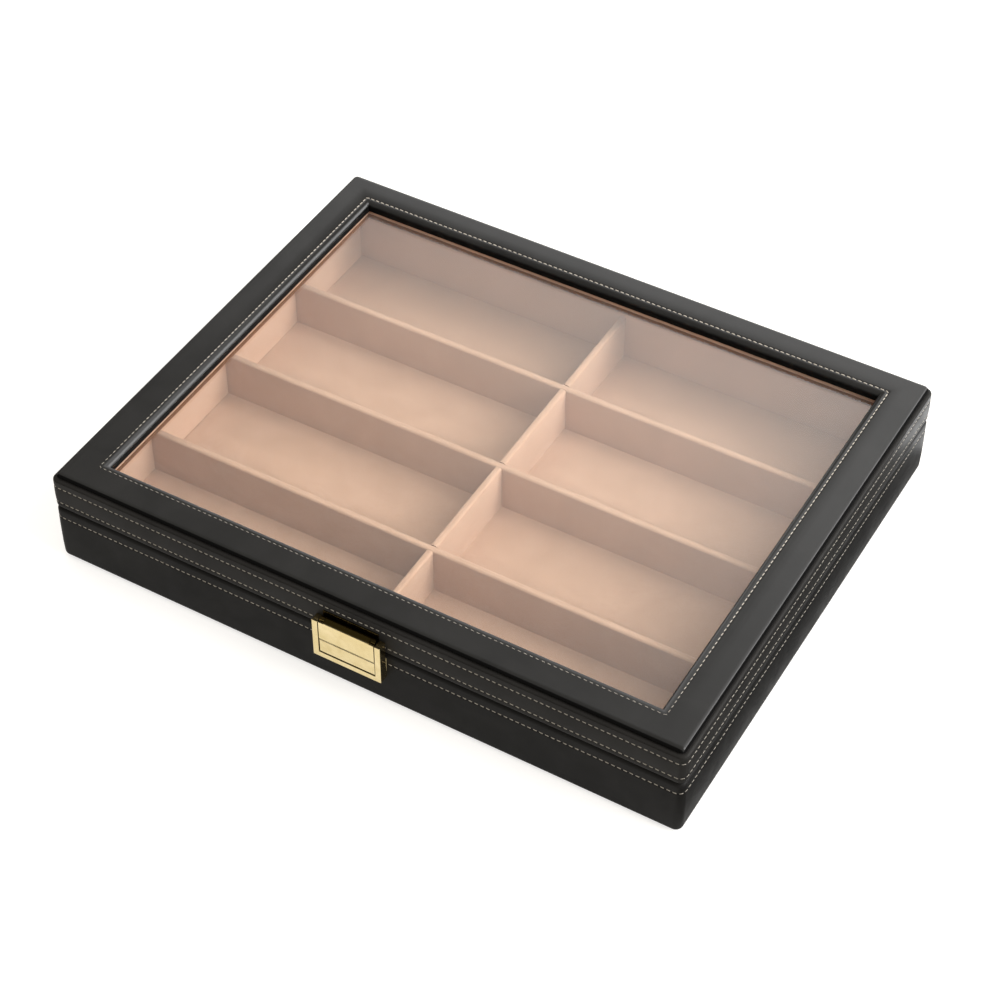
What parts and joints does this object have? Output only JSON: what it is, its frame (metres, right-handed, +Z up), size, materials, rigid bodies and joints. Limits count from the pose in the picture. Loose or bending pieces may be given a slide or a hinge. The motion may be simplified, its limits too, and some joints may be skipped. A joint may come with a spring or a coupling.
{
  "type": "glasses display case",
  "caption": "Low rectangular leather-covered case with a glazed hinged lid, velvet compartments in a grid for folded glasses, and a flap latch at the front.",
  "frame": {"origin": "middle of the felt underside, on the surface that the case stands on", "axes": "+X along the width to the right, +Y from the latch at the front to the hinges at the back, +Z up through the lid"},
  "size_m": [0.37, 0.3051, 0.061],
  "materials": {
    "leather": "smooth black leather with a soft satin sheen",
    "velvet": "short-pile beige velvet",
    "brass": "polished pale gold plating",
    "pane": "clear polished pane",
    "board": "plain fibreboard, covered all over",
    "felt": "black felt"
  },
  "bodies": {
    "base": {"base_front": "board", "base_back": "board", "base_left": "board", "base_right": "board", "base_wrap": "leather", "floor_board": "board", "felt_sheet": "felt", "floor_pad": "velvet", "base_lining_front": "velvet", "base_lining_back": "velvet", "base_lining_left": "velvet", "base_lining_right": "velvet", "divider_centre": "velvet", "divider_front": "velvet", "divider_middle": "velvet", "divider_back": "velvet", "hinge_leaf_base_left": "brass", "hinge_leaf_base_right": "brass", "hinge_pin_left": "brass", "hinge_pin_right": "brass", "latch_keeper": "brass"},
    "lid": {"lid_front": "board", "lid_back": "board", "lid_left": "board", "lid_right": "board", "lid_wrap": "leather", "lid_lining_front": "velvet", "lid_lining_back": "velvet", "lid_lining_left": "velvet", "lid_lining_right": "velvet", "bead_front": "velvet", "bead_back": "velvet", "bead_left": "velvet", "bead_right": "velvet", "pane": "pane", "frame_front": "board", "frame_back": "board", "frame_left": "board", "frame_right": "board", "frame_wrap": "leather", "hinge_leaf_lid_left": "brass", "hinge_leaf_lid_right": "brass", "latch_bracket": "brass", "latch_pin": "brass"},
    "flap": {"latch_flap": "brass"}
  },
  "joints": [
    {"name": "lid_hinge", "type": "hinge", "parent": "base", "child": "lid", "pos_m": [0, 0.1498, 0.0375], "axis": [-1, 0, 0], "range_deg": [0, 100]},
    {"name": "latch_hinge", "type": "hinge", "parent": "lid", "child": "flap", "pos_m": [0, -0.15, 0.0466], "axis": [-1, 0, 0], "range_deg": [0, 90]}
  ]
}
